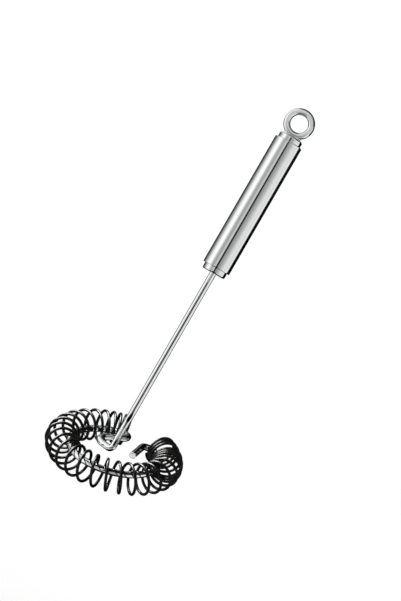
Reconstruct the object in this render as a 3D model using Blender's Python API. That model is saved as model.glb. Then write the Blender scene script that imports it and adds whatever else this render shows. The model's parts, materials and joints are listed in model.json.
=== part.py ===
"""Spiral whisk: a coil threaded on a bent wire, with a hollow handle and a hanging ring.

Metres, +Z up. The whisk hangs as it does on a rail: the handle's axis is the Z axis, and the
origin is the centre of the hanging ring's hole, which is looked through along Y.
"""
from math import acos, ceil, cos, hypot, pi, radians, sin, tan

import bmesh
import bpy
import numpy as np
from mathutils import Matrix, Vector

# Clearance between pieces that are pressed, welded or seated together
FIT_GAP = 0.0003

# Handle tube
TUBE_DIAMETER = 0.0185
TUBE_LENGTH = 0.0901
TUBE_WALL = 0.0011
TUBE_LIP_ROUND = 0.0005

# Plugs that close the tube, each with a boss left standing out of it
TOP_BOSS_HEIGHT = 0.0036
BOTTOM_BOSS_HEIGHT = 0.0037
PLUG_DEPTH = 0.0120
PLUG_EDGE_ROUND = 0.0010

# Hanging ring, of round bar, on a small weld bead with a shank in the top plug
RING_BAR = 0.0044
RING_HOLE = 0.0110
RING_RISE = 0.0095
BEAD_RADIUS = 0.0006
BEAD_LIP = 0.00015
BEAD_ROOT = 0.0010
SHANK_DIAMETER = 0.0045
SHANK_LENGTH = 0.0090

# Wire: one length, bent into rod, foot, hairpin, core ring and hook
WIRE_DIAMETER = 0.0044
TANG_PAST_PLUG = 0.0060
ROD_REACH = 0.1262
HEAD_SHIFT = 0.0020
HEAD_TILT = radians(24.5)
HEAD_TILT_DIRECTION = radians(238.8)
CORE_START = radians(90.5)
CORE_END = radians(386.0)
EYE_CORNER = (-0.0158, 0.0100, 0.0012)
HAIRPIN_REACH = 0.0179
HOOK_REACH = 0.0056
HOOK_CORNER = (0.0164, 0.0180, 0.0006)
HOOK_TIP = (0.0117, -0.0015, 0.0015)

# Radius on the inside of each of the wire's bends
FOOT_BEND = 0.0006
EYE_BEND = 0.0034
HAIRPIN_BEND = 0.0021
HOOK_FIRST_BEND = 0.0028
HOOK_SECOND_BEND = 0.0012

# Coil: a helix whose own axis is bent round into an open ring
COIL_RING_RADIUS = 0.0339
COIL_RADIUS = 0.0093
COIL_WIRE = 0.00185
COIL_TURNS = 30.7
COIL_START = radians(84.0)
COIL_END = radians(398.4)
COIL_CORE_GAP = 0.00045

# The coil's pitch, beside its pitch in the middle: the turns crowd at both ends, and part once
CROWDED_PITCH = 0.425
START_CROWDED_TURNS = 1.1
START_EASING_TURNS = 5.2
END_CROWDED_TURNS = 5.3
END_EASING_TURNS = 2.6
PARTING_PLACE = 3.35
PARTING_WIDTH = 0.85
PARTING_WIDENING = 0.68

# How finely round shapes are divided
TUBE_SEGMENTS = 64
PLUG_SEGMENTS = 48
RING_SEGMENTS = 48
BAR_SEGMENTS = 16
EDGE_STEPS = 3
BEAD_STEPS = 3
HALVINGS = 40
WIRE_BEVEL_STEPS = 3
POINTS_PER_TURN = 10
COIL_BEVEL_STEPS = 1
BEND_STEP = radians(14)
CORE_STEP = radians(5)
SHARP_EDGE = radians(35)
GAP_SAMPLES = 4

# Sizes and levels that follow from the ones above
TUBE_BORE = TUBE_DIAMETER - 2 * TUBE_WALL
PLUG_DIAMETER = TUBE_BORE - 2 * FIT_GAP
TOP_FACE = -RING_RISE
TUBE_TOP = TOP_FACE - TOP_BOSS_HEIGHT
TUBE_BOTTOM = TUBE_TOP - TUBE_LENGTH
BOTTOM_FACE = TUBE_BOTTOM - BOTTOM_BOSS_HEIGHT
RING_RADIUS = (RING_HOLE + RING_BAR) / 2
CORE_RADIUS = COIL_RING_RADIUS - (COIL_RADIUS * cos(pi / POINTS_PER_TURN) - COIL_WIRE / 2
                                  - WIRE_DIAMETER / 2 - COIL_CORE_GAP)


def clear_scene():
    for thing in list(bpy.data.objects):
        bpy.data.objects.remove(thing, do_unlink=True)


def plain_material(name, colour, roughness, metallic=1.0):
    """A plain Principled material."""
    material = bpy.data.materials.new(name)
    material.use_nodes = True
    shader = material.node_tree.nodes["Principled BSDF"]
    shader.inputs["Base Color"].default_value = (*colour, 1.0)
    shader.inputs["Roughness"].default_value = roughness
    shader.inputs["Metallic"].default_value = metallic
    return material


def add_object(name, data, material, parent=None):
    thing = bpy.data.objects.new(name, data)
    data.materials.append(material)
    bpy.context.scene.collection.objects.link(thing)
    if parent is not None:
        thing.parent = parent
    return thing


def head_axes():
    """Matrix of the head: X across it, Y away, Z along the ring's axis, at the ring's centre."""
    up = Vector((sin(HEAD_TILT) * cos(HEAD_TILT_DIRECTION),
                 sin(HEAD_TILT) * sin(HEAD_TILT_DIRECTION),
                 cos(HEAD_TILT)))
    across = Vector((up.z, 0.0, -up.x)).normalized()
    away = up.cross(across)
    turned = Matrix((across, away, up)).transposed().to_4x4()
    return Matrix.Translation((HEAD_SHIFT, 0.0, BOTTOM_FACE - ROD_REACH)) @ turned


def rounded_corner(centre_r, centre_z, radius, start, end):
    """Points of a rounded edge in a turned profile, from one angle to another."""
    points = []
    for step in range(EDGE_STEPS + 1):
        angle = start + (end - start) * step / EDGE_STEPS
        points.append((centre_r + radius * cos(angle), centre_z + radius * sin(angle)))
    return points


def turned_rings(shape, profile, segments):
    """Copies of a profile of (radius, height) points, set round Z."""
    rings = []
    for index in range(segments):
        angle = 2 * pi * index / segments
        rings.append([shape.verts.new((r * cos(angle), r * sin(angle), z)) for r, z in profile])
    return rings


def bridge_rings(shape, rings, edges):
    """Faces from each ring of points to the next, across the given number of edges."""
    for index, ring in enumerate(rings):
        following = rings[(index + 1) % len(rings)]
        for point in range(edges):
            after = (point + 1) % len(ring)
            shape.faces.new((ring[point], following[point], following[after], ring[after]))


def finished_mesh(name, shape):
    bmesh.ops.recalc_face_normals(shape, faces=shape.faces)
    mesh = bpy.data.meshes.new(name)
    shape.to_mesh(mesh)
    shape.free()
    mesh.shade_smooth()
    mesh.set_sharp_from_angle(angle=SHARP_EDGE)
    return mesh


def turned_mesh(name, profile, segments):
    """Closed profile of (radius, height) points, turned about Z."""
    shape = bmesh.new()
    bridge_rings(shape, turned_rings(shape, profile, segments), len(profile))
    return finished_mesh(name, shape)


def make_handle_tube(material):
    """Drawn tube, open at both ends, with its lips rounded outside."""
    outer = TUBE_DIAMETER / 2
    inner = TUBE_BORE / 2
    lip = TUBE_LIP_ROUND
    profile = [(inner, TUBE_TOP), (inner, TUBE_BOTTOM)]
    profile += rounded_corner(outer - lip, TUBE_BOTTOM + lip, lip, -pi / 2, 0.0)
    profile += rounded_corner(outer - lip, TUBE_TOP - lip, lip, 0.0, pi / 2)
    add_object("handle_tube", turned_mesh("handle_tube", profile, TUBE_SEGMENTS), material)


def plug_profile(outer_face, inner_face, bore):
    """Turned slug with a bore, rounded at the face that shows and chamfered at the other."""
    radius = PLUG_DIAMETER / 2
    edge = PLUG_EDGE_ROUND
    side = 1.0 if outer_face > inner_face else -1.0
    profile = [(bore / 2, outer_face), (bore / 2, inner_face), (radius - edge, inner_face),
               (radius, inner_face + side * edge)]
    for r, z in rounded_corner(radius - edge, 0.0, edge, 0.0, pi / 2):
        profile.append((r, outer_face - side * edge + side * z))
    return profile


def make_plugs(material):
    top = plug_profile(TOP_FACE, TUBE_TOP - PLUG_DEPTH, SHANK_DIAMETER + 2 * FIT_GAP)
    add_object("top_plug", turned_mesh("top_plug", top, PLUG_SEGMENTS), material)
    bottom = plug_profile(BOTTOM_FACE, TUBE_BOTTOM + PLUG_DEPTH, WIRE_DIAMETER + 2 * FIT_GAP)
    add_object("bottom_plug", turned_mesh("bottom_plug", bottom, PLUG_SEGMENTS), material)


def ring_bar_mesh():
    """The ring itself, round bar bent about the Y axis."""
    section = []
    for index in range(BAR_SEGMENTS):
        angle = 2 * pi * index / BAR_SEGMENTS
        section.append((RING_RADIUS + RING_BAR / 2 * cos(angle), RING_BAR / 2 * sin(angle)))
    shape = bmesh.new()
    rings = []
    for index in range(RING_SEGMENTS):
        angle = 2 * pi * index / RING_SEGMENTS
        rings.append([shape.verts.new((r * cos(angle), y, r * sin(angle))) for r, y in section])
    bridge_rings(shape, rings, len(section))
    return finished_mesh("hanging_ring", shape)


def ball_beside_bar(turn, height):
    """Centre of a ball of the bead's radius that touches the bar, at an angle round the shank."""
    near, far = 0.0, 2 * RING_RADIUS
    for _ in range(HALVINGS):
        reach = (near + far) / 2
        to_circle = hypot(reach * cos(turn), height) - RING_RADIUS
        if hypot(to_circle, reach * sin(turn)) < RING_BAR / 2 + BEAD_RADIUS:
            near = reach
        else:
            far = reach
    return Vector((near * cos(turn), near * sin(turn), height))


def bead_column(turn):
    """Shank and weld bead at one angle: the bead is hollow, as the ball leaves it."""
    seat = TOP_FACE + FIT_GAP
    ball = ball_beside_bar(turn, seat + BEAD_LIP + BEAD_RADIUS)
    on_circle = Vector((ball.x, 0.0, ball.z)).normalized() * RING_RADIUS
    to_bar = (on_circle - ball).normalized()
    down = Vector((0.0, 0.0, -1.0))
    sweep = acos(down.dot(to_bar))
    shank = Vector((cos(turn), sin(turn), 0.0)) * SHANK_DIAMETER / 2
    column = [shank + Vector((0.0, 0.0, seat - SHANK_LENGTH)), shank + Vector((0.0, 0.0, seat)),
              Vector((ball.x, ball.y, seat))]
    for step in range(BEAD_STEPS + 1):
        turned = sweep * step / BEAD_STEPS
        direction = (down * sin(sweep - turned) + to_bar * sin(turned)) / sin(sweep)
        column.append(ball + direction * BEAD_RADIUS)
    column.append(ball + to_bar * (BEAD_RADIUS + BEAD_ROOT))
    return column


def bead_and_shank_mesh():
    """Weld bead round the bar where it meets the plug, with the shank that goes down into it."""
    shape = bmesh.new()
    rings = []
    for index in range(PLUG_SEGMENTS):
        column = bead_column(2 * pi * index / PLUG_SEGMENTS)
        rings.append([shape.verts.new(point) for point in column])
    bridge_rings(shape, rings, len(rings[0]) - 1)
    shape.faces.new([ring[0] for ring in rings])
    root = shape.verts.new((0.0, 0.0, -RING_RADIUS))
    for index, ring in enumerate(rings):
        shape.faces.new((ring[-1], rings[(index + 1) % len(rings)][-1], root))
    return finished_mesh("bead_and_shank", shape)


def seat_cutter_mesh():
    """Washer-shaped block that trims the bar within the bead's lip, clear of the shank's core."""
    trim = TOP_FACE + FIT_GAP + BEAD_LIP / 2
    hole = SHANK_DIAMETER / 2 - FIT_GAP
    profile = [(hole, trim), (hole, trim - RING_BAR), (RING_RADIUS, trim - RING_BAR),
               (RING_RADIUS, trim)]
    return turned_mesh("seat_cutter", profile, PLUG_SEGMENTS)


def add_boolean(thing, name, operation, operand):
    modifier = thing.modifiers.new(name, "BOOLEAN")
    modifier.operation = operation
    modifier.solver = "EXACT"
    modifier.object = operand
    operand.hide_render = True
    operand.display_type = "WIRE"


def make_hanging_ring(material):
    """Ring, trimmed flat where it meets its seat, then joined to its weld bead and shank."""
    ring = add_object("hanging_ring", ring_bar_mesh(), material)
    cutter = add_object("seat_cutter", seat_cutter_mesh(), material)
    bead = add_object("bead_and_shank", bead_and_shank_mesh(), material)
    add_boolean(ring, "trim", "DIFFERENCE", cutter)
    add_boolean(ring, "weld", "UNION", bead)


def bend_points(before, corner, after, inside_radius):
    """Centreline of a bend at a corner of the wire's route, by the radius on its inside."""
    radius = inside_radius + WIRE_DIAMETER / 2
    arriving = (corner - before).normalized()
    leaving = (after - corner).normalized()
    turn = acos(max(-1.0, min(1.0, arriving.dot(leaving))))
    start = corner - arriving * radius * tan(turn / 2)
    sideways = (leaving - arriving * arriving.dot(leaving)).normalized()
    centre = start + sideways * radius
    steps = max(2, ceil(turn / BEND_STEP))
    return [centre - sideways * radius * cos(turn * step / steps)
            + arriving * radius * sin(turn * step / steps) for step in range(steps + 1)]


def core_point(angle):
    return Vector((CORE_RADIUS * cos(angle), CORE_RADIUS * sin(angle), 0.0))


def core_points():
    """The part of the wire that lies inside the coil."""
    steps = ceil((CORE_END - CORE_START) / CORE_STEP)
    return [core_point(CORE_START + (CORE_END - CORE_START) * step / steps)
            for step in range(steps + 1)]


def hook_points():
    """The free end: two bends that turn it in towards the middle, and a straight run to its tip."""
    last = core_point(CORE_END)
    onward = Vector((-sin(CORE_END), cos(CORE_END), 0.0))
    first_corner = last + onward * HOOK_REACH
    second_corner = Vector(HOOK_CORNER)
    tip = Vector(HOOK_TIP)
    return (bend_points(last, first_corner, second_corner, HOOK_FIRST_BEND)
            + bend_points(first_corner, second_corner, tip, HOOK_SECOND_BEND) + [tip])


def wire_route():
    """Centreline of the whole wire, from the tang's end to the hook's tip."""
    head = head_axes()
    tang_end = Vector((0.0, 0.0, TUBE_BOTTOM + PLUG_DEPTH + TANG_PAST_PLUG))
    foot = Vector((0.0, 0.0, head.translation.z))
    eye = head @ Vector(EYE_CORNER)
    away_from_coil = Vector((sin(CORE_START), -cos(CORE_START), 0.0))
    hairpin = head @ (core_point(CORE_START) + away_from_coil * HAIRPIN_REACH)
    core_begin = head @ core_point(CORE_START)
    route = [tang_end]
    route += bend_points(tang_end, foot, eye, FOOT_BEND)
    route += bend_points(foot, eye, hairpin, EYE_BEND)
    route += bend_points(eye, hairpin, core_begin, HAIRPIN_BEND)
    route += [head @ point for point in core_points() + hook_points()]
    return route


def tube_along(name, points, diameter, resolution):
    """Curve object's data: a round bar along a list of points, closed at both ends."""
    curve = bpy.data.curves.new(name, "CURVE")
    curve.dimensions = "3D"
    curve.bevel_depth = diameter / 2
    curve.bevel_resolution = resolution
    curve.use_fill_caps = True
    spline = curve.splines.new("POLY")
    spline.points.add(len(points) - 1)
    for target, point in zip(spline.points, points):
        target.co = (*point, 1.0)
    return curve


def make_frame_wire(material):
    curve = tube_along("frame_wire", wire_route(), WIRE_DIAMETER, WIRE_BEVEL_STEPS)
    add_object("frame_wire", curve, material)


def smooth_rise(share):
    share = min(1.0, max(0.0, share))
    return share * share * (3 - 2 * share)


def turn_spacing(turn):
    """Pitch at a turn, beside the pitch in the middle. The turns part once, near the end."""
    left = COIL_TURNS - turn
    eased = min((turn - START_CROWDED_TURNS) / START_EASING_TURNS,
                (left - END_CROWDED_TURNS) / END_EASING_TURNS)
    parted = 1.0 - smooth_rise(abs(left - PARTING_PLACE) / PARTING_WIDTH)
    return CROWDED_PITCH + (1 - CROWDED_PITCH) * smooth_rise(eased) + PARTING_WIDENING * parted


def coil_points(per_turn=POINTS_PER_TURN):
    """Right-handed helix round a bent axis. It starts at its top and goes down outside."""
    count = round(COIL_TURNS * per_turn)
    spacing = [turn_spacing(step / per_turn) for step in range(count + 1)]
    travelled = [0.0]
    for step in range(count):
        travelled.append(travelled[-1] + (spacing[step] + spacing[step + 1]) / 2)
    points = []
    for step in range(count + 1):
        along = COIL_START + (COIL_END - COIL_START) * travelled[step] / travelled[-1]
        around = 2 * pi * step / per_turn
        reach = COIL_RING_RADIUS + COIL_RADIUS * sin(around)
        points.append(Vector((reach * cos(along), reach * sin(along), COIL_RADIUS * cos(around))))
    return points


def sampled(points):
    """Points along a route with more between them, and the step at which each one lies."""
    corners = np.array([tuple(point) for point in points])
    shares = np.arange(GAP_SAMPLES) / GAP_SAMPLES
    between = corners[:-1, None] + (corners[1:] - corners[:-1])[:, None] * shares[None, :, None]
    steps = np.arange(len(corners) - 1)[:, None] + shares[None]
    return between.reshape(-1, 3), steps.reshape(-1)


def report_gaps(coil, route):
    """Prints the coil's least gap to itself and to the wire that it is threaded on."""
    coil_samples, steps = sampled(coil)
    apart = np.linalg.norm(coil_samples[:, None] - coil_samples[None], axis=2)
    other_turn = np.abs(steps[:, None] - steps[None]) > POINTS_PER_TURN / 2
    own_gap = apart[other_turn].min() - COIL_WIRE
    head = head_axes().inverted()
    wire_samples, _ = sampled([head @ point for point in route])
    apart = np.linalg.norm(coil_samples[:, None] - wire_samples[None], axis=2)
    wire_gap = apart.min() - (COIL_WIRE + WIRE_DIAMETER) / 2
    print(f"coil: {COIL_TURNS} turns, least gap to itself {own_gap * 1000:.2f} mm")
    print(f"coil: least gap to the wire {wire_gap * 1000:.2f} mm")


def make_whisk_coil(material):
    """The coil turns about the ring's axis, so its origin is the ring's centre."""
    head = bpy.data.objects.new("head_centre", None)
    head.matrix_world = head_axes()
    bpy.context.scene.collection.objects.link(head)
    points = coil_points()
    report_gaps(points, wire_route())
    add_object("whisk_coil", tube_along("whisk_coil", points, COIL_WIRE, COIL_BEVEL_STEPS), material, head)


def build():
    clear_scene()
    brushed = plain_material("brushed_steel", (0.62, 0.62, 0.61), 0.32)
    polished = plain_material("polished_steel", (0.68, 0.68, 0.67), 0.14)
    coating = plain_material("black_silicone", (0.02, 0.02, 0.021), 0.42, metallic=0.0)
    make_handle_tube(brushed)
    make_plugs(polished)
    make_hanging_ring(polished)
    make_frame_wire(polished)
    make_whisk_coil(coating)


build()
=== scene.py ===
import json
from math import acos, ceil, cos, hypot, pi, radians, sin, tan

import bmesh
import bpy
from mathutils import Matrix, Vector


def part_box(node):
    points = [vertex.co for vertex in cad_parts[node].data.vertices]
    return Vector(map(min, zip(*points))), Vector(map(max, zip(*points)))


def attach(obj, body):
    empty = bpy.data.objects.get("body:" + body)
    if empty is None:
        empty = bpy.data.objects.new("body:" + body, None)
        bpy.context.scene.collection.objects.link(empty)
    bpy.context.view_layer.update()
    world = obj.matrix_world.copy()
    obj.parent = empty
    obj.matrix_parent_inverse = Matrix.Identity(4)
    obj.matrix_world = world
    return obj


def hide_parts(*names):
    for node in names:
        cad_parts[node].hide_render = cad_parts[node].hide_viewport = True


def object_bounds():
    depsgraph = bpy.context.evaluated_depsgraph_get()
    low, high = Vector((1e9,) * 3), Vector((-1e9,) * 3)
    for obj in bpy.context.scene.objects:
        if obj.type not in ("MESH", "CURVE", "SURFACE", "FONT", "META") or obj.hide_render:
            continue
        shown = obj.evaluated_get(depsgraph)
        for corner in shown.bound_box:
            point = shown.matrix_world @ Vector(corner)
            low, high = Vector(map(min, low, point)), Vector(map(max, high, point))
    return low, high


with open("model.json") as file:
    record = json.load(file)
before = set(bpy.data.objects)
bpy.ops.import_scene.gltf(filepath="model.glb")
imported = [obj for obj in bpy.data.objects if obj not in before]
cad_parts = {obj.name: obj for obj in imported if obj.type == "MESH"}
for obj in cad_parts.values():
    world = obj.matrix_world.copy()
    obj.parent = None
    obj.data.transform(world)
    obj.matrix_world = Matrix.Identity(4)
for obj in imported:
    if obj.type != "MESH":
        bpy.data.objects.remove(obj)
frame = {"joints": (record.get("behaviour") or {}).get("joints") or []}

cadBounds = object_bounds()  # box of the imported solids, taken before the pieces are rebuilt
scene = bpy.context.scene
sharpEdge = radians(35)  # faces that meet at a greater angle keep a crisp edge

# Sizes that several pieces share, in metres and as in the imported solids
wireThickness = 0.0044
fitGap = 0.0003
tubeLow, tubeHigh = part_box("handle_tube")
topPlugLow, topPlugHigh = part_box("top_plug")
bottomPlugLow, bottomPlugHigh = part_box("bottom_plug")
headCentre = Vector(frame["joints"][0]["pos_m"])
headUp = Vector(frame["joints"][0]["axis"]).normalized()


# Helpers

def linearColour(hexText):
    channels = [int(hexText[place:place + 2], 16) / 255 for place in (1, 3, 5)]
    return [*(c / 12.92 if c <= 0.04045 else ((c + 0.055) / 1.055) ** 2.4 for c in channels), 1.0]


def addNode(tree, kind, settings=None, inputs=None):
    node = tree.nodes.new(kind)
    for name, value in (settings or {}).items():
        setattr(node, name, value)
    for name, value in (inputs or {}).items():
        if isinstance(value, bpy.types.NodeSocket):
            tree.links.new(value, node.inputs[name])
        else:
            node.inputs[name].default_value = value
    return node


def newMaterial(name, settings):
    material = bpy.data.materials.new(name)
    material.use_nodes = True
    shader = material.node_tree.nodes["Principled BSDF"]
    for socket, value in settings.items():
        shader.inputs[socket].default_value = value
    return material, material.node_tree, shader


def newPiece(name, mesh, material, body, nodes):
    mesh.materials.clear()
    mesh.materials.append(material)
    piece = bpy.data.objects.new(name, mesh)
    scene.collection.objects.link(piece)
    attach(piece, body)
    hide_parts(*nodes)
    return piece


def treeWithInputs(name, inputs):
    # A Geometry Nodes tree with named inputs. inputs: {name: (kind of socket, value)}
    tree = bpy.data.node_groups.new(name, "GeometryNodeTree")
    tree.interface.new_socket("Geometry", in_out="INPUT", socket_type="NodeSocketGeometry")
    for socketName, (kind, value) in inputs.items():
        socket = tree.interface.new_socket(socketName, in_out="INPUT", socket_type=kind)
        if value is not None:
            socket.default_value = value
    tree.interface.new_socket("Geometry", in_out="OUTPUT", socket_type="NodeSocketGeometry")
    return tree


def endTreeWithBar(tree, path, section, material):
    # Runs the section along the path and closes its ends. The path's thickness attribute scales
    # the section at each point
    thickness = addNode(tree, "GeometryNodeInputNamedAttribute", {"data_type": "FLOAT"}, {
        "Name": "thickness"})
    bar = addNode(tree, "GeometryNodeCurveToMesh", None, {
        "Curve": path, "Profile Curve": section, "Scale": thickness.outputs["Attribute"],
        "Fill Caps": True})
    smooth = addNode(tree, "GeometryNodeSetShadeSmooth", None, {"Geometry": bar.outputs["Mesh"]})
    real = addNode(tree, "GeometryNodeRealizeInstances", None, {"Geometry": smooth.outputs["Geometry"]})
    finished = addNode(tree, "GeometryNodeSetMaterial", None, {
        "Geometry": real.outputs["Geometry"], "Material": material})
    addNode(tree, "NodeGroupOutput", None, {"Geometry": finished.outputs["Geometry"]})


def meshFromTree(name, tree, startMesh, values):
    # Runs the tree on a plain mesh and returns what it makes as a mesh of its own
    carrier = bpy.data.objects.new(name, startMesh)
    scene.collection.objects.link(carrier)
    modifier = carrier.modifiers.new("nodes", "NODES")
    modifier.node_group = tree
    for item in tree.interface.items_tree:
        if item.in_out == "INPUT" and item.name in values:
            modifier[item.identifier] = values[item.name]
    evaluated = carrier.evaluated_get(bpy.context.evaluated_depsgraph_get())
    mesh = bpy.data.meshes.new_from_object(evaluated)
    bpy.data.objects.remove(carrier)
    mesh.set_sharp_from_angle(angle=sharpEdge)
    return mesh


def smoothMesh(name, shape):
    bmesh.ops.recalc_face_normals(shape, faces=shape.faces)
    mesh = bpy.data.meshes.new(name)
    shape.to_mesh(mesh)
    shape.free()
    mesh.shade_smooth()
    return mesh


def turnedMesh(name, profile, segments):
    # A closed profile of (radius, height) points, turned about the handle's axis
    shape = bmesh.new()
    rings = []
    for index in range(segments):
        angle = 2 * pi * index / segments
        rings.append([shape.verts.new((r * cos(angle), r * sin(angle), z)) for r, z in profile])
    for index, ring in enumerate(rings):
        following = rings[(index + 1) % segments]
        for point in range(len(profile)):
            after = (point + 1) % len(profile)
            shape.faces.new((ring[point], following[point], following[after], ring[after]))
    mesh = smoothMesh(name, shape)
    mesh.set_sharp_from_angle(angle=sharpEdge)
    return mesh


def roundedCorner(centreR, centreZ, radius, start, end, steps=8):
    angles = [start + (end - start) * step / steps for step in range(steps + 1)]
    return [(centreR + radius * cos(a), centreZ + radius * sin(a)) for a in angles]


# Materials

# A Mix node's colour sockets. Its other kinds have sockets of the same names, so it takes numbers
mixFrom, mixTo, mixResult = 6, 7, 2


def roughenAndEmboss(tree, shader, pattern, settings):
    # One pattern sets both the gloss and the relief, as the marks of one tool do. patternRange
    # holds the values of the pattern at which the roughness is lowest and highest
    patternLow, patternHigh = settings["patternRange"]
    low, high = settings["roughness"]
    gloss = addNode(tree, "ShaderNodeMapRange", None, {
        "Value": pattern, "From Min": patternLow, "From Max": patternHigh, "To Min": low, "To Max": high})
    tree.links.new(gloss.outputs["Result"], shader.inputs["Roughness"])
    relief = addNode(tree, "ShaderNodeBump", None, {
        "Height": pattern, "Distance": settings["depth"], "Strength": settings["reliefStrength"]})
    tree.links.new(relief.outputs["Normal"], shader.inputs["Normal"])


def brushedTubeSteel():
    # 18/10 stainless tube, brushed round its girth with a fine belt: hairlines across the
    # handle that smear a reflection along it, and keep it crisp round the tube
    settings = {
        "hairline": 0.0011,  # spacing of the coarsest hairlines. Most real ones are too fine to show
        "hairlineLength": 0.014,
        "patternRange": (0.3, 0.7), "roughness": (0.10, 0.16), "depth": 0.0000012, "reliefStrength": 1.0,
    }
    material, tree, shader = newMaterial("brushedStainlessTube", {
        "Base Color": linearColour("#d1d3d2"), "Metallic": 1.0, "Anisotropic": 0.65,
        "Anisotropic Rotation": 0.25})
    place = addNode(tree, "ShaderNodeTexCoord")
    girthScale = 1 / settings["hairlineLength"]
    stretched = addNode(tree, "ShaderNodeMapping", None, {
        "Vector": place.outputs["Object"], "Scale": (girthScale, girthScale, 1 / settings["hairline"])})
    hairlines = addNode(tree, "ShaderNodeTexNoise", None, {
        "Vector": stretched.outputs["Vector"], "Scale": 1.0, "Detail": 5.0, "Roughness": 0.72})
    roughenAndEmboss(tree, shader, hairlines.outputs["Fac"], settings)
    girth = addNode(tree, "ShaderNodeTangent", {"direction_type": "RADIAL", "axis": "Z"})
    tree.links.new(girth.outputs["Tangent"], shader.inputs["Tangent"])
    return material


def turnedPlugSteel():
    # Stainless bar turned in a lathe and lightly buffed: faint rings round the axis, on the
    # side by height and on the end face by radius, that break a reflection into fine arcs
    settings = {
        "ringSpacing": 0.0007,  # coarser than the tool's real feed, which is too fine to show
        "patternRange": (0.3, 0.7), "roughness": (0.08, 0.13), "depth": 0.0000010, "reliefStrength": 1.0,
    }
    material, tree, shader = newMaterial("turnedStainlessPlug", {
        "Base Color": linearColour("#cfd1d0"), "Metallic": 1.0, "Anisotropic": 0.6,
        "Anisotropic Rotation": 0.25})
    place = addNode(tree, "ShaderNodeTexCoord")
    parts = addNode(tree, "ShaderNodeSeparateXYZ", None, {"Vector": place.outputs["Object"]})
    flat = addNode(tree, "ShaderNodeCombineXYZ", None, {"X": parts.outputs["X"], "Y": parts.outputs["Y"]})
    radius = addNode(tree, "ShaderNodeVectorMath", {"operation": "LENGTH"}, {0: flat.outputs["Vector"]})
    both = addNode(tree, "ShaderNodeMath", {"operation": "ADD"}, {
        0: radius.outputs["Value"], 1: parts.outputs["Z"]})
    scaled = addNode(tree, "ShaderNodeMath", {"operation": "DIVIDE"}, {
        0: both.outputs["Value"], 1: settings["ringSpacing"]})
    marks = addNode(tree, "ShaderNodeTexNoise", {"noise_dimensions": "1D"}, {
        "W": scaled.outputs["Value"], "Scale": 1.0, "Detail": 4.0, "Roughness": 0.65})
    roughenAndEmboss(tree, shader, marks.outputs["Fac"], settings)
    girth = addNode(tree, "ShaderNodeTangent", {"direction_type": "RADIAL", "axis": "Z"})
    tree.links.new(girth.outputs["Tangent"], shader.inputs["Tangent"])
    return material


def tumbledRingSteel():
    # Stainless round bar, bent, welded and tumble polished: a soft satin, with tiny dents that
    # make the edges of a reflection waver
    settings = {
        "dent": 0.0020,  # width of the marks that the tumbling stones leave
        "patternRange": (0.35, 0.65), "roughness": (0.15, 0.21), "depth": 0.0000008, "reliefStrength": 1.0,
    }
    material, tree, shader = newMaterial("tumbledStainlessRing", {
        "Base Color": linearColour("#d5d7d7"), "Metallic": 1.0})
    place = addNode(tree, "ShaderNodeTexCoord")
    dents = addNode(tree, "ShaderNodeTexNoise", None, {
        "Vector": place.outputs["Object"], "Scale": 1 / settings["dent"], "Detail": 3.0, "Roughness": 0.5})
    roughenAndEmboss(tree, shader, dents.outputs["Fac"], settings)
    return material


def drawnWireSteel():
    # Bright drawn stainless wire: long fine die lines that draw its bright and dark stripes out
    # along it. The piece's own attributes give the way along and the way round
    settings = {
        "lineWidth": wireThickness / 18,  # 0.24 mm for the coarsest die lines. Most are too fine to show
        "lineLength": 0.03,
        "patternRange": (0.3, 0.7), "roughness": (0.05, 0.10), "depth": 0.0000008, "reliefStrength": 1.0,
    }
    material, tree, shader = newMaterial("drawnStainlessWire", {
        "Base Color": linearColour("#d8dad9"), "Metallic": 1.0})
    along = addNode(tree, "ShaderNodeAttribute", {"attribute_name": "wireAlong"})
    around = addNode(tree, "ShaderNodeAttribute", {"attribute_name": "wireAround"})
    alongScaled = addNode(tree, "ShaderNodeMath", {"operation": "DIVIDE"}, {
        0: along.outputs["Fac"], 1: settings["lineLength"]})
    turn = addNode(tree, "ShaderNodeMath", {"operation": "MULTIPLY"}, {0: around.outputs["Fac"], 1: 2 * pi})
    side = addNode(tree, "ShaderNodeMath", {"operation": "COSINE"}, {0: turn.outputs["Value"]})
    front = addNode(tree, "ShaderNodeMath", {"operation": "SINE"}, {0: turn.outputs["Value"]})
    place = addNode(tree, "ShaderNodeCombineXYZ", None, {
        "X": side.outputs["Value"], "Y": front.outputs["Value"], "Z": alongScaled.outputs["Value"]})
    roundScale = wireThickness / 2 / settings["lineWidth"]  # the pattern has a radius of 1
    spread = addNode(tree, "ShaderNodeMapping", None, {
        "Vector": place.outputs["Vector"], "Scale": (roundScale, roundScale, 1.0)})
    lines = addNode(tree, "ShaderNodeTexNoise", None, {
        "Vector": spread.outputs["Vector"], "Scale": 1.0, "Detail": 3.0, "Roughness": 0.6})
    roughenAndEmboss(tree, shader, lines.outputs["Fac"], settings)
    return material


def dippedBlackSilicone():
    # Black silicone, dipped and cured on spring wire: satin, a little uneven, with soft
    # highlights and a greyer bloom where it has been handled
    settings = {
        "ripple": 0.0022,  # width of the unevenness that the dip leaves
        "patternRange": (0.3, 0.7), "roughness": (0.22, 0.32), "depth": 0.00002, "reliefStrength": 0.6,
        "deepColour": "#060706", "bloomColour": "#0f110e",
    }
    material, tree, shader = newMaterial("dippedBlackSilicone", {"IOR": 1.45, "Specular IOR Level": 0.18})
    place = addNode(tree, "ShaderNodeTexCoord")
    ripples = addNode(tree, "ShaderNodeTexNoise", None, {
        "Vector": place.outputs["Object"], "Scale": 1 / settings["ripple"], "Detail": 3.0, "Roughness": 0.55})
    colour = addNode(tree, "ShaderNodeMix", {"data_type": "RGBA"}, {
        "Factor": ripples.outputs["Fac"], mixFrom: linearColour(settings["deepColour"]),
        mixTo: linearColour(settings["bloomColour"])})
    tree.links.new(colour.outputs[mixResult], shader.inputs["Base Color"])
    roughenAndEmboss(tree, shader, ripples.outputs["Fac"], settings)
    return material


# Handle

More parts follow.
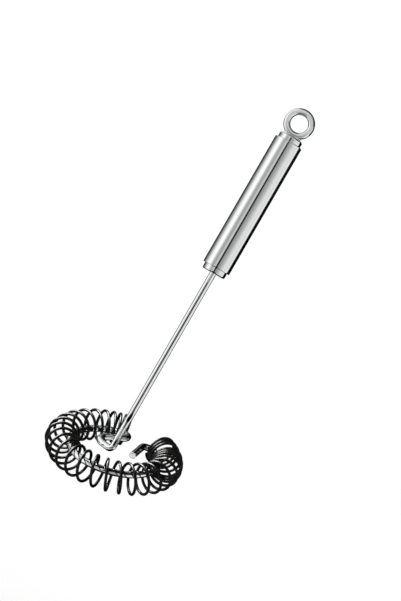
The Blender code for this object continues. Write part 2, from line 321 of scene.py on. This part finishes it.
def makeHandleTube(material):
    settings = {"wall": 0.0011, "lipRound": 0.0005, "innerLip": 0.0002, "segments": 192}
    outer = tubeHigh.x
    inner = outer - settings["wall"]
    lip, innerLip = settings["lipRound"], settings["innerLip"]
    profile = [(inner, tubeHigh.z - innerLip), (inner, tubeLow.z + innerLip)]
    profile += roundedCorner(inner + innerLip, tubeLow.z + innerLip, innerLip, pi, 3 * pi / 2)[1:]
    profile += roundedCorner(outer - lip, tubeLow.z + lip, lip, -pi / 2, 0.0)
    profile += roundedCorner(outer - lip, tubeHigh.z - lip, lip, 0.0, pi / 2)
    profile += roundedCorner(inner + innerLip, tubeHigh.z - innerLip, innerLip, pi / 2, pi)[:-1]
    mesh = turnedMesh("handleTube", profile, settings["segments"])
    newPiece("handleTube", mesh, material, "whisk", ["handle_tube"])
    print("handle tube:", len(mesh.polygons), "faces")


def makePlug(name, node, showingFace, hiddenFace, material):
    settings = {"edgeRound": 0.0010, "boreChamfer": 0.0003, "hiddenChamfer": 0.0010, "segments": 160}
    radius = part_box(node)[1].x
    bore = wireThickness / 2 + fitGap
    edge, chamfer, hidden = settings["edgeRound"], settings["boreChamfer"], settings["hiddenChamfer"]
    side = 1.0 if showingFace > hiddenFace else -1.0
    profile = [(bore + chamfer, showingFace), (bore, showingFace - side * chamfer), (bore, hiddenFace),
               (radius - hidden, hiddenFace), (radius, hiddenFace + side * hidden)]
    for r, z in roundedCorner(radius - edge, 0.0, edge, 0.0, pi / 2):
        profile.append((r, showingFace - side * edge + side * z))
    mesh = turnedMesh(name, profile, settings["segments"])
    newPiece(name, mesh, material, "whisk", [node])
    print(name + ":", len(mesh.polygons), "faces")


# Hanging ring

def beadAndShankMesh(ring):
    # The weld bead is what a ball leaves that rolls round the bar on the plug's face. Under it
    # is the shank that goes down into the plug
    seat = topPlugHigh.z + fitGap
    bar, ringRadius = ring["bar"] / 2, ring["radius"]
    bead = ring["bead"]
    ballHeight = seat + ring["beadLip"] + bead
    shape = bmesh.new()
    columns = []
    for index in range(ring["beadSegments"]):
        turn = 2 * pi * index / ring["beadSegments"]
        # Distance from the axis at which the ball touches the bar, found by halving
        near, far = 0.0, 2 * ringRadius
        for _ in range(ring["halvings"]):
            middle = (near + far) / 2
            toCircle = hypot(middle * cos(turn), ballHeight) - ringRadius
            if hypot(toCircle, middle * sin(turn)) < bar + bead:
                near = middle
            else:
                far = middle
        ball = Vector((near * cos(turn), near * sin(turn), ballHeight))
        onCircle = Vector((ball.x, 0.0, ball.z)).normalized() * ringRadius
        toBar = (onCircle - ball).normalized()
        down = Vector((0.0, 0.0, -1.0))
        sweep = acos(down.dot(toBar))
        shank = Vector((cos(turn), sin(turn), 0.0)) * ring["shank"] / 2
        column = [shank + Vector((0, 0, seat - ring["shankLength"])), shank + Vector((0, 0, seat)),
                  Vector((ball.x, ball.y, seat))]
        for step in range(ring["beadSteps"] + 1):
            share = step / ring["beadSteps"]
            direction = (down * sin(sweep * (1 - share)) + toBar * sin(sweep * share)) / sin(sweep)
            column.append(ball + direction * bead)
        column.append(ball + toBar * (bead + ring["beadRoot"]))
        columns.append([shape.verts.new(point) for point in column])
    for index, column in enumerate(columns):
        following = columns[(index + 1) % len(columns)]
        for point in range(len(column) - 1):
            shape.faces.new((column[point], following[point], following[point + 1], column[point + 1]))
    for end, centre in ((0, Vector((0, 0, seat - ring["shankLength"]))), (-1, Vector((0, 0, -ringRadius)))):
        middle = shape.verts.new(centre)
        for index, column in enumerate(columns):
            shape.faces.new((column[end], columns[(index + 1) % len(columns)][end], middle))
    return smoothMesh("beadAndShank", shape)


def ringBarMesh(ring):
    shape = bmesh.new()
    loops = []
    for index in range(ring["segments"]):
        turn = 2 * pi * index / ring["segments"]
        loop = []
        for side in range(ring["barSegments"]):
            around = 2 * pi * side / ring["barSegments"]
            reach = ring["radius"] + ring["bar"] / 2 * cos(around)
            sideways = ring["bar"] / 2 * sin(around)
            loop.append(shape.verts.new((reach * cos(turn), sideways, reach * sin(turn))))
        loops.append(loop)
    for index, loop in enumerate(loops):
        following = loops[(index + 1) % len(loops)]
        for side in range(len(loop)):
            after = (side + 1) % len(loop)
            shape.faces.new((loop[side], following[side], following[after], loop[after]))
    return smoothMesh("ringBar", shape)


def makeHangingRing(material):
    ring = {
        "hole": 0.0110, "segments": 180, "barSegments": 48,
        "bead": 0.0006, "beadLip": 0.00015, "beadRoot": 0.0010, "beadSegments": 120, "beadSteps": 7,
        "shank": 0.0045, "shankLength": 0.0090, "halvings": 40, "sharpEdge": radians(50),
    }
    outside = 2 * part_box("hanging_ring")[1].z
    ring["bar"] = (outside - ring["hole"]) / 2
    ring["radius"] = (outside + ring["hole"]) / 4
    seat = topPlugHigh.z + fitGap
    bar = bpy.data.objects.new("bar", ringBarMesh(ring))
    bead = bpy.data.objects.new("bead", beadAndShankMesh(ring))
    # The trim takes off what of the bar would lie in the plug, and leaves a core for the shank
    inner = ring["shank"] / 2 - fitGap
    trimTop = seat + ring["beadLip"] / 2
    trim = bpy.data.objects.new("trim", turnedMesh("trim", [
        (inner, trimTop), (inner, trimTop - ring["bar"]), (ring["radius"], trimTop - ring["bar"]),
        (ring["radius"], trimTop)], ring["beadSegments"]))
    for thing in (bar, bead, trim):
        scene.collection.objects.link(thing)
    for operation, other in (("DIFFERENCE", trim), ("UNION", bead)):
        modifier = bar.modifiers.new(operation, "BOOLEAN")
        modifier.operation = operation
        modifier.solver = "EXACT"
        modifier.object = other
    mesh = bpy.data.meshes.new_from_object(bar.evaluated_get(bpy.context.evaluated_depsgraph_get()))
    mesh.shade_smooth()
    mesh.set_sharp_from_angle(angle=ring["sharpEdge"])
    for thing in (bar, bead, trim):
        bpy.data.objects.remove(thing)
    newPiece("hangingRing", mesh, material, "whisk", ["hanging_ring"])
    print("hanging ring:", len(mesh.polygons), "faces")


# Head: axes, and the wire's route

across = Vector((headUp.z, 0.0, -headUp.x)).normalized()
away = headUp.cross(across)
headMatrix = Matrix.Translation(headCentre) @ Matrix((across, away, headUp)).transposed().to_4x4()

# The names are the inputs of the coil's node tree
coilShape = {
    "Ring radius": 0.0339, "Coil radius": 0.0093, "Wire radius": 0.000925, "Turns": 30.7,
    "Steps per turn": 40, "Cap steps": 6, "Sides": 14,
    "Start angle": radians(84.0), "End angle": radians(398.4),
    # Pitch beside the pitch in the middle: the turns crowd at both ends and part once
    "Crowded pitch": 0.425, "Start crowded turns": 1.1, "Start easing turns": 5.2,
    "End crowded turns": 5.3, "End easing turns": 2.6,
    "Parting place": 3.35, "Parting width": 0.85, "Parting widening": 0.68,
}

# Corners are given in the head's own axes: across, away and up
wireShape = {
    "tangPastPlug": 0.0060,
    "coreRadius": 0.02863, "coreStart": radians(90.5), "coreEnd": radians(386.0),
    "eyeCorner": (-0.0158, 0.0100, 0.0012), "hairpinReach": 0.0179,
    "hookReach": 0.0056, "hookCorner": (0.0164, 0.0180, 0.0006), "hookTip": (0.0117, -0.0015, 0.0015),
    # Radius on the inside of each bend
    "footBend": 0.0006, "eyeBend": 0.0034, "hairpinBend": 0.0021, "hookFirstBend": 0.0028,
    "hookSecondBend": 0.0012,
    "bendStep": radians(4), "coreStep": radians(1.5), "tipChamfer": 0.0003, "sides": 36,
}


def bendPoints(before, corner, after, insideRadius):
    radius = insideRadius + wireThickness / 2
    arriving = (corner - before).normalized()
    leaving = (after - corner).normalized()
    turn = acos(max(-1.0, min(1.0, arriving.dot(leaving))))
    start = corner - arriving * radius * tan(turn / 2)
    sideways = (leaving - arriving * arriving.dot(leaving)).normalized()
    centre = start + sideways * radius
    steps = max(2, ceil(turn / wireShape["bendStep"]))
    return [centre - sideways * radius * cos(turn * step / steps)
            + arriving * radius * sin(turn * step / steps) for step in range(steps + 1)]


def wireRoute(shape):
    coreRadius, coreStart, coreEnd = shape["coreRadius"], shape["coreStart"], shape["coreEnd"]

    def corePoint(angle):
        return headMatrix @ Vector((coreRadius * cos(angle), coreRadius * sin(angle), 0.0))

    tangEnd = Vector((0.0, 0.0, bottomPlugHigh.z + shape["tangPastPlug"]))
    foot = Vector((0.0, 0.0, headCentre.z))
    eye = headMatrix @ Vector(shape["eyeCorner"])
    beforeCore = headMatrix.to_3x3() @ Vector((sin(coreStart), -cos(coreStart), 0.0))
    afterCore = headMatrix.to_3x3() @ Vector((-sin(coreEnd), cos(coreEnd), 0.0))
    coreBegin, coreFinish = corePoint(coreStart), corePoint(coreEnd)
    hairpin = coreBegin + beforeCore * shape["hairpinReach"]
    firstCorner = coreFinish + afterCore * shape["hookReach"]
    secondCorner = headMatrix @ Vector(shape["hookCorner"])
    tip = headMatrix @ Vector(shape["hookTip"])
    sweep = coreEnd - coreStart
    coreSteps = ceil(sweep / shape["coreStep"])
    route = [tangEnd]
    route += bendPoints(tangEnd, foot, eye, shape["footBend"])
    route += bendPoints(foot, eye, hairpin, shape["eyeBend"])
    route += bendPoints(eye, hairpin, coreBegin, shape["hairpinBend"])
    route += [corePoint(coreStart + sweep * step / coreSteps) for step in range(coreSteps + 1)]
    route += bendPoints(coreFinish, firstCorner, secondCorner, shape["hookFirstBend"])
    route += bendPoints(firstCorner, secondCorner, tip, shape["hookSecondBend"])
    cut = (tip - route[-1]).normalized() * shape["tipChamfer"]
    return route + [tip - cut, tip]


def roundBarTree():
    # A round bar along a path. Its attributes tell the material the way along and the way round
    tree = treeWithInputs("roundBarAlongPath", {
        "Bar radius": ("NodeSocketFloat", 0.002), "Sides": ("NodeSocketInt", 16),
        "Material": ("NodeSocketMaterial", None)})
    given = addNode(tree, "NodeGroupInput")
    path = addNode(tree, "GeometryNodeMeshToCurve", None, {"Mesh": given.outputs["Geometry"]})
    wayAlong = addNode(tree, "GeometryNodeSplineParameter")
    marked = addNode(tree, "GeometryNodeStoreNamedAttribute", {"data_type": "FLOAT", "domain": "POINT"}, {
        "Geometry": path.outputs["Curve"], "Name": "wireAlong", "Value": wayAlong.outputs["Length"]})
    circle = addNode(tree, "GeometryNodeCurvePrimitiveCircle", None, {
        "Resolution": given.outputs["Sides"], "Radius": given.outputs["Bar radius"]})
    wayRound = addNode(tree, "GeometryNodeSplineParameter")
    section = addNode(tree, "GeometryNodeStoreNamedAttribute", {"data_type": "FLOAT", "domain": "POINT"}, {
        "Geometry": circle.outputs["Curve"], "Name": "wireAround", "Value": wayRound.outputs["Factor"]})
    endTreeWithBar(tree, marked.outputs["Geometry"], section.outputs["Geometry"], given.outputs["Material"])
    return tree


def makeFrameWire(material):
    route = wireRoute(wireShape)
    path = bpy.data.meshes.new("wirePath")
    path.from_pydata(route, [(index, index + 1) for index in range(len(route) - 1)], [])
    thickness = path.attributes.new("thickness", "FLOAT", "POINT")
    chamfered = 1 - wireShape["tipChamfer"] / (wireThickness / 2)
    for index in range(len(route)):
        thickness.data[index].value = chamfered if index == len(route) - 1 else 1.0
    mesh = meshFromTree("frameWire", roundBarTree(), path, {
        "Bar radius": wireThickness / 2, "Sides": wireShape["sides"], "Material": material})
    newPiece("frameWire", mesh, material, "whisk", ["frame_wire"])
    print("frame wire:", len(route), "points,", len(mesh.polygons), "faces")


# Coil

def coilTree():
    # A right-handed helix whose own axis is bent round the ring. The turns crowd at both ends
    # and part once near the last of them, and the wire's ends are rounded off
    inputs = {name: ("NodeSocketFloat", 1.0) for name in coilShape}
    for name in ("Steps per turn", "Cap steps", "Sides"):
        inputs[name] = ("NodeSocketInt", 8)
    inputs["Material"] = ("NodeSocketMaterial", None)
    tree = treeWithInputs("coilRoundRing", inputs)
    given = addNode(tree, "NodeGroupInput")
    values = {name: given.outputs[name] for name in inputs}
    values["index"] = addNode(tree, "GeometryNodeInputIndex").outputs["Index"]
    thinnest = 0.02  # width of the last section in a rounded end, so that it doesn't close to a point

    def addFormula(lines):
        for name, operation, *operands in lines:
            operands = [values[item] if isinstance(item, str) else item for item in operands]
            node = addNode(tree, "ShaderNodeMath", {"operation": operation, "label": name},
                           dict(enumerate(operands)))
            values[name] = node.outputs["Value"]

    addFormula([
        ("lastStep", "MULTIPLY", "Turns", "Steps per turn"),
        ("bothCaps", "MULTIPLY", "Cap steps", 2),
        ("lastPoint", "ADD", "lastStep", "bothCaps"),
        ("pointCount", "ADD", "lastPoint", 1),
        ("step", "SUBTRACT", "index", "Cap steps"),
        ("stepFromStart", "MAXIMUM", "step", 0),
        ("wholeStep", "MINIMUM", "stepFromStart", "lastStep"),
        ("pastEnd", "SUBTRACT", "step", "wholeStep"),
        ("capShare", "DIVIDE", "pastEnd", "Cap steps"),
        ("capAngle", "MULTIPLY", "capShare", pi / 2),
        ("capWidth", "COSINE", "capAngle"),
        ("thickness", "MAXIMUM", "capWidth", thinnest),
        ("capReach", "SINE", "capAngle"),
        ("capLength", "MULTIPLY", "capReach", "Wire radius"),
        ("girth", "MULTIPLY", "Coil radius", 2 * pi),
        ("capTurn", "DIVIDE", "capLength", "girth"),
        ("wholeTurn", "DIVIDE", "wholeStep", "Steps per turn"),
        ("turn", "ADD", "wholeTurn", "capTurn"),
        ("midStep", "ADD", "wholeStep", 0.5),
        ("midTurn", "DIVIDE", "midStep", "Steps per turn"),
        ("turnsLeft", "SUBTRACT", "Turns", "midTurn"),
        ("pastStart", "SUBTRACT", "midTurn", "Start crowded turns"),
        ("startEased", "DIVIDE", "pastStart", "Start easing turns"),
        ("beforeEnd", "SUBTRACT", "turnsLeft", "End crowded turns"),
        ("endEased", "DIVIDE", "beforeEnd", "End easing turns"),
        ("eased", "MINIMUM", "startEased", "endEased"),
        ("partingOffset", "SUBTRACT", "turnsLeft", "Parting place"),
        ("fromParting", "ABSOLUTE", "partingOffset"),
    ])
    pitch = addNode(tree, "ShaderNodeMapRange", {"interpolation_type": "SMOOTHSTEP"}, {
        "Value": values["eased"], "To Min": values["Crowded pitch"], "To Max": 1.0})
    parted = addNode(tree, "ShaderNodeMapRange", {"interpolation_type": "SMOOTHSTEP"}, {
        "Value": values["fromParting"], "From Max": values["Parting width"],
        "To Min": values["Parting widening"], "To Max": 0.0})
    values["pitch"], values["parted"] = pitch.outputs["Result"], parted.outputs["Result"]
    # The points of the rounded ends add nothing to the way along the ring
    addFormula([
        ("spacing", "ADD", "pitch", "parted"),
        ("started", "GREATER_THAN", "step", -0.5),
        ("lastMark", "SUBTRACT", "lastStep", 0.5),
        ("running", "LESS_THAN", "step", "lastMark"),
        ("counts", "MULTIPLY", "started", "running"),
        ("countedSpacing", "MULTIPLY", "spacing", "counts"),
    ])
    travel = addNode(tree, "GeometryNodeAccumulateField", {"data_type": "FLOAT", "domain": "POINT"}, {
        "Value": values["countedSpacing"]})
    values["travelled"], values["wholeTravel"] = travel.outputs["Trailing"], travel.outputs["Total"]
    addFormula([
        ("travelShare", "DIVIDE", "travelled", "wholeTravel"),
        ("sweep", "SUBTRACT", "End angle", "Start angle"),
        ("swept", "MULTIPLY", "travelShare", "sweep"),
        ("along", "ADD", "swept", "Start angle"),
        ("around", "MULTIPLY", "turn", 2 * pi),
        ("outwards", "SINE", "around"),
        ("outReach", "MULTIPLY", "outwards", "Coil radius"),
        ("reach", "ADD", "outReach", "Ring radius"),
        ("alongCosine", "COSINE", "along"),
        ("alongSine", "SINE", "along"),
        ("x", "MULTIPLY", "reach", "alongCosine"),
        ("y", "MULTIPLY", "reach", "alongSine"),
        ("upwards", "COSINE", "around"),
        ("z", "MULTIPLY", "upwards", "Coil radius"),
    ])
    place = addNode(tree, "ShaderNodeCombineXYZ", None, {
        "X": values["x"], "Y": values["y"], "Z": values["z"]})
    line = addNode(tree, "GeometryNodeMeshLine", None, {"Count": values["pointCount"]})
    helix = addNode(tree, "GeometryNodeSetPosition", None, {
        "Geometry": line.outputs["Mesh"], "Position": place.outputs["Vector"]})
    sized = addNode(tree, "GeometryNodeStoreNamedAttribute", {"data_type": "FLOAT", "domain": "POINT"}, {
        "Geometry": helix.outputs["Geometry"], "Name": "thickness", "Value": values["thickness"]})
    path = addNode(tree, "GeometryNodeMeshToCurve", None, {"Mesh": sized.outputs["Geometry"]})
    section = addNode(tree, "GeometryNodeCurvePrimitiveCircle", None, {
        "Resolution": values["Sides"], "Radius": values["Wire radius"]})
    endTreeWithBar(tree, path.outputs["Curve"], section.outputs["Curve"], values["Material"])
    return tree


def makeWhiskCoil(material):
    mesh = meshFromTree("whiskCoil", coilTree(), bpy.data.meshes.new("empty"), {
        **coilShape, "Material": material})
    mesh.transform(headMatrix)
    coil = newPiece("whiskCoil", mesh, material, "coil", ["whisk_coil"])
    print("whisk coil:", len(mesh.polygons), "faces")
    return coil


# Studio: surroundings, softbox, flags and cards, floor and camera

studio = {
    "floor": {"drop": 0.10, "size": 12.0, "colour": "#fbfbfb", "roughness": 0.9},
    "white": 1.06,  # what the camera sees and the floor is lit by
    # What the steel reflects, by degrees round the handle: 0 is towards the camera, and 90 is
    # to its right. Two front panels leave a dark slit between them, and the back is dark
    "panels": [
        (-180, 0.00), (-140, 0.03), (-121, 0.24), (-107, 0.56), (-95, 1.00), (-84, 1.32), (-74, 1.54),
        (-63, 1.62), (-54, 1.22), (-47, 0.80), (-39, 0.58), (-31, 0.55), (-23, 0.68), (-14, 0.97),
        (-10, 0.85), (-6.2, 0.00), (3.8, 0.00), (6.8, 0.43), (16, 0.49), (31, 0.67), (47, 1.00), (60, 1.16),
        (84, 1.06), (94, 1.36), (101, 1.15), (107, 0.00), (180, 0.00),
    ],
    # The panels' upper and lower edges, by the sine of the height. Beyond them a soft wash from
    # the left and the camera's side falls off to the dark at the back and right, and straight
    # above and below it is dark
    "panelTop": (0.22, 0.45), "panelBottom": (-0.50, -0.75),
    "zenith": (0.80, 0.94), "nadir": (-0.80, -0.94),
    "wash": {"towards": (-0.80, -0.50, 0.15), "darkBelow": -0.45, "lightAbove": 0.70,
             "dark": 0.01, "light": 1.15},
    # A softbox for the coil alone, so that the black strands have highlights
    "softbox": {"towards": (-0.80, -0.05, 0.60), "distance": 0.60, "size": 0.50, "power": 60.0},
    # Flags and cards that only the reflections see. Each is a rectangle across one axis, with its
    # place on that axis and its lowest and highest corners on the other two
    "flags": {
        # Gives the rod the dark line down its middle
        "rodFlag": {"across": "y", "at": -0.060, "low": (-0.0195, headCentre.z + 0.010),
                    "high": (0.0195, bottomPlugLow.z - 0.006), "light": 0.0},
        # Darken the upper sides of the core at the front and of the hook, and the foot's front
        "coreFlag": {"across": "z", "at": headCentre.z + 0.016, "low": (-0.08, -0.11),
                     "high": (0.08, -0.036), "light": 0.0},
        "hookFlag": {"across": "z", "at": headCentre.z + 0.050, "low": (0.004, 0.012),
                     "high": (0.10, 0.20), "light": 0.0},
        "footFlag": {"across": "y", "at": -0.052, "low": (-0.040, headCentre.z - 0.003),
                     "high": (0.045, headCentre.z + 0.002), "light": 0.0},
        # Light the back of the tube and the rod. What faces the camera can't reflect them
        "tubeBackCard": {"across": "y", "at": 0.014, "low": (-0.013, bottomPlugLow.z),
                         "high": (0.013, topPlugHigh.z), "light": 0.85},
        "rodBackCard": {"across": "y", "at": 0.008, "low": (-0.005, headCentre.z + 0.020),
                        "high": (0.005, bottomPlugLow.z - 0.004), "light": 0.85},
        # Darken the ring on its right, and lighten its front and its left
        "ringFlag": {"across": "x", "at": 0.018, "low": (-0.005, topPlugHigh.z + 0.004),
                     "high": (0.060, 0.030), "light": 0.0},
        "ringFront": {"across": "y", "at": -0.030, "low": (-0.035, topPlugHigh.z + 0.0055),
                      "high": (0.026, 0.030), "light": 0.80},
        "ringCard": {"across": "x", "at": -0.035, "low": (0.012, topPlugHigh.z + 0.008),
                     "high": (0.060, 0.045), "light": 0.9},
    },
}


def makeSurroundings():
    world = bpy.data.worlds.new("studioSurroundings")
    scene.world = world
    world.use_nodes = True
    tree = world.node_tree
    tree.nodes.clear()
    look = addNode(tree, "ShaderNodeTexCoord")
    parts = addNode(tree, "ShaderNodeSeparateXYZ", None, {"Vector": look.outputs["Generated"]})
    forward = addNode(tree, "ShaderNodeMath", {"operation": "MULTIPLY"}, {0: parts.outputs["Y"], 1: -1.0})
    bearing = addNode(tree, "ShaderNodeMath", {"operation": "ARCTAN2"}, {
        0: parts.outputs["X"], 1: forward.outputs["Value"]})
    share = addNode(tree, "ShaderNodeMapRange", None, {
        "Value": bearing.outputs["Value"], "From Min": -pi, "From Max": pi})
    panels = addNode(tree, "ShaderNodeValToRGB", None, {"Fac": share.outputs["Result"]})
    brightest = max(value for _, value in studio["panels"])
    stops = panels.color_ramp.elements
    while len(stops) < len(studio["panels"]):
        stops.new(0.5)
    for stop, (angle, value) in zip(stops, studio["panels"]):
        stop.position = (angle + 180) / 360
        stop.color = [value / brightest] * 3 + [1.0]
    washing = studio["wash"]  # its brightness follows how nearly a direction points to it
    facing = addNode(tree, "ShaderNodeVectorMath", {"operation": "DOT_PRODUCT"}, {
        0: look.outputs["Generated"], 1: Vector(washing["towards"]).normalized()})
    wash = addNode(tree, "ShaderNodeMapRange", {"interpolation_type": "SMOOTHSTEP"}, {
        "Value": facing.outputs["Value"], "From Min": washing["darkBelow"], "From Max": washing["lightAbove"],
        "To Min": washing["dark"] / brightest, "To Max": washing["light"] / brightest})
    colour = panels.outputs["Color"]
    washed, dark = wash.outputs["Result"], linearColour("#000000")
    for edge, beyond in (("panelTop", washed), ("panelBottom", washed), ("zenith", dark), ("nadir", dark)):
        begins, ends = studio[edge]
        amount = addNode(tree, "ShaderNodeMapRange", {"interpolation_type": "SMOOTHSTEP"}, {
            "Value": parts.outputs["Z"], "From Min": begins, "From Max": ends})
        mixed = addNode(tree, "ShaderNodeMix", {"data_type": "RGBA"}, {
            "Factor": amount.outputs["Result"], mixFrom: colour, mixTo: beyond})
        colour = mixed.outputs[mixResult]
    lit = addNode(tree, "ShaderNodeBackground", None, {"Color": colour, "Strength": brightest})
    plain = addNode(tree, "ShaderNodeBackground", None, {
        "Color": linearColour("#ffffff"), "Strength": studio["white"]})
    rays = addNode(tree, "ShaderNodeLightPath")
    seen = addNode(tree, "ShaderNodeMixShader", None, {
        0: rays.outputs["Is Glossy Ray"], 1: plain.outputs["Background"], 2: lit.outputs["Background"]})
    addNode(tree, "ShaderNodeOutputWorld", None, {"Surface": seen.outputs["Shader"]})


def makeSoftbox(coil):
    softbox = studio["softbox"]
    data = bpy.data.lights.new("coilSoftbox", "AREA")
    data.shape = "SQUARE"
    data.size = softbox["size"]
    data.energy = softbox["power"]
    towards = Vector(softbox["towards"]).normalized()
    lamp = bpy.data.objects.new("coilSoftbox", data)
    scene.collection.objects.link(lamp)
    lamp.matrix_world = (Matrix.Translation(headCentre + towards * softbox["distance"])
                         @ towards.to_track_quat("Z", "Y").to_matrix().to_4x4())
    lit = bpy.data.collections.new("litBySoftbox")
    lit.objects.link(coil)
    lamp.light_linking.receiver_collection = lit
    lamp.visible_diffuse = False


def makeFlag(name, flagShape):
    # A flag takes light away and a card gives it: a card's "light" is above 0
    axis = "xyz".index(flagShape["across"])
    low, high = flagShape["low"], flagShape["high"]
    corners = []
    for first, second in ((low, low), (high, low), (high, high), (low, high)):
        corner = [first[0], second[1]]
        corner.insert(axis, flagShape["at"])
        corners.append(corner)
    mesh = bpy.data.meshes.new(name)
    mesh.from_pydata(corners, [], [(0, 1, 2, 3)])
    material, *_ = newMaterial(name, {
        "Base Color": linearColour("#000000"), "Roughness": 1.0, "Specular IOR Level": 0.0,
        "Emission Color": linearColour("#ffffff"), "Emission Strength": flagShape["light"]})
    mesh.materials.append(material)
    flag = bpy.data.objects.new(name, mesh)
    scene.collection.objects.link(flag)
    flag.visible_camera = flag.visible_diffuse = flag.visible_shadow = False


def makeFloor():
    shape = studio["floor"]
    height = cadBounds[0].z - shape["drop"]
    half = shape["size"] / 2
    mesh = bpy.data.meshes.new("floor")
    corners = [(-half, -half, height), (half, -half, height), (half, half, height), (-half, half, height)]
    mesh.from_pydata(corners, [], [(0, 1, 2, 3)])
    floor = bpy.data.objects.new("floor", mesh)
    scene.collection.objects.link(floor)
    material, *_ = newMaterial("paleFloor", {
        "Base Color": linearColour(shape["colour"]), "Roughness": shape["roughness"],
        "Specular IOR Level": 0.1})
    mesh.materials.append(material)
    floor.visible_glossy = False


def makeCamera():
    # The camera looks along +Y and is rolled, so that the handle leans to the right
    view = {"x": 0.0017, "distance": 1.18, "z": -0.1254, "roll": radians(30),
            "lens": 114.0, "sensor": 36.0, "clip": (0.05, 50.0)}
    data = bpy.data.cameras.new("camera")
    data.lens = view["lens"]
    data.sensor_width = view["sensor"]
    data.clip_start, data.clip_end = view["clip"]
    camera = bpy.data.objects.new("camera", data)
    scene.collection.objects.link(camera)
    right = Vector((cos(view["roll"]), 0.0, sin(view["roll"])))
    up = Vector((-sin(view["roll"]), 0.0, cos(view["roll"])))
    turned = Matrix((right, up, right.cross(up))).transposed().to_4x4()
    camera.matrix_world = Matrix.Translation((view["x"], -view["distance"], view["z"])) @ turned
    scene.camera = camera


# Everything together

plugSteel = turnedPlugSteel()
makeHandleTube(brushedTubeSteel())
makePlug("topPlug", "top_plug", topPlugHigh.z, topPlugLow.z, plugSteel)
makePlug("bottomPlug", "bottom_plug", bottomPlugLow.z, bottomPlugHigh.z, plugSteel)
makeHangingRing(tumbledRingSteel())
makeFrameWire(drawnWireSteel())
whiskCoil = makeWhiskCoil(dippedBlackSilicone())

makeSurroundings()
makeSoftbox(whiskCoil)
for flagName, flagShape in studio["flags"].items():
    makeFlag(flagName, flagShape)
makeFloor()
makeCamera()
scene.view_settings.view_transform = "Standard"
print("studio: ready")
